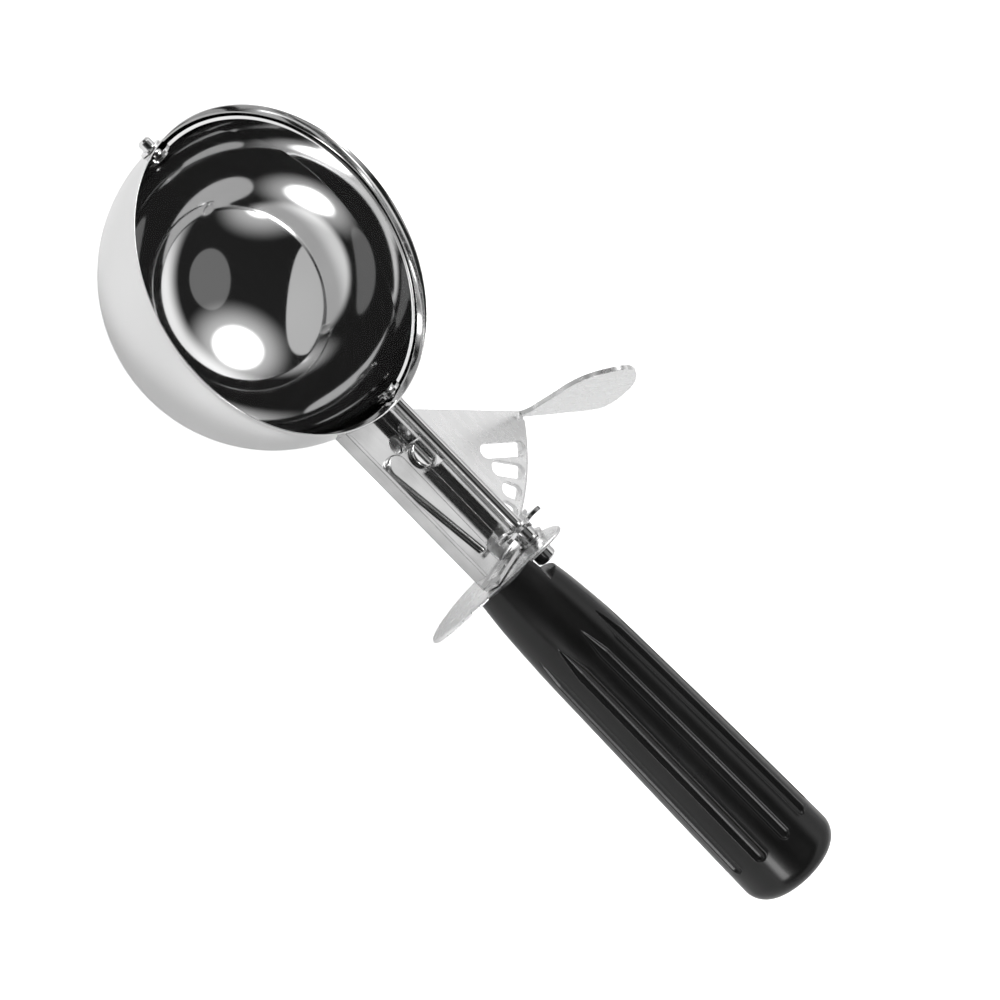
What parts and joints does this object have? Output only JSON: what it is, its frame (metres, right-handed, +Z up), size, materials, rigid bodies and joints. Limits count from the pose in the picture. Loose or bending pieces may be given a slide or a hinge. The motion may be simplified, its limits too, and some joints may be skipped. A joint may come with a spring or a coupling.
{
  "type": "lever ice cream scoop",
  "caption": "Thumb-lever ice cream scoop: a hemispherical steel bowl with a sweeping blade turned by a slotted sector and star wheel, oval hand guard and fluted black grip.",
  "frame": {"origin": "centre of the bowl's sphere, on the turning axis of the blade and drive shaft", "axes": "+X along the drive shaft towards the handle, +Z up out of the bowl's mouth, +Y towards the side that the thumb lever stands on"},
  "size_m": [0.2324, 0.0885, 0.0659],
  "materials": {
    "mirror_steel": "mirror polished stainless steel",
    "polished_steel": "polished stainless steel with fine drawn lines",
    "satin_steel": "satin stainless steel",
    "spring_steel": "bright drawn wire",
    "tang_steel": "plain mill finish, hidden in the grip",
    "black_grip": "black moulded plastic, satin gloss"
  },
  "bodies": {
    "frame": {"bowl": "mirror_steel", "channel_frame": "polished_steel", "pivot_rivet": "polished_steel", "pivot_shim": "satin_steel", "pivot_washer": "satin_steel", "return_spring": "spring_steel", "handle_tang": "tang_steel", "hand_guard": "satin_steel", "guard_bushing": "satin_steel", "handle_grip": "black_grip"},
    "lever": {"thumb_lever": "satin_steel"},
    "shaft": {"drive_shaft": "polished_steel", "star_wheel": "satin_steel", "shaft_journal": "polished_steel", "scraper_blade": "mirror_steel", "far_pivot_pin": "polished_steel", "far_pin_washer": "polished_steel"}
  },
  "joints": [
    {"name": "shaft_turn", "type": "hinge", "parent": "frame", "child": "shaft", "pos_m": [0, 0, 0], "axis": [-1, 0, 0], "range_deg": [0, 155]},
    {"name": "lever_press", "type": "hinge", "parent": "frame", "child": "lever", "pos_m": [0.0543, -0.0022, -0.0055], "axis": [0, 0, -1], "range_deg": [0, 28.5], "stiffness_Nm_per_rad": 0.25, "springref_deg": -28.65, "deforming": ["return_spring"]}
  ],
  "couplings": [
    {"joint": "lever_press", "follows": "shaft_turn", "ratio": 0.18343}
  ]
}
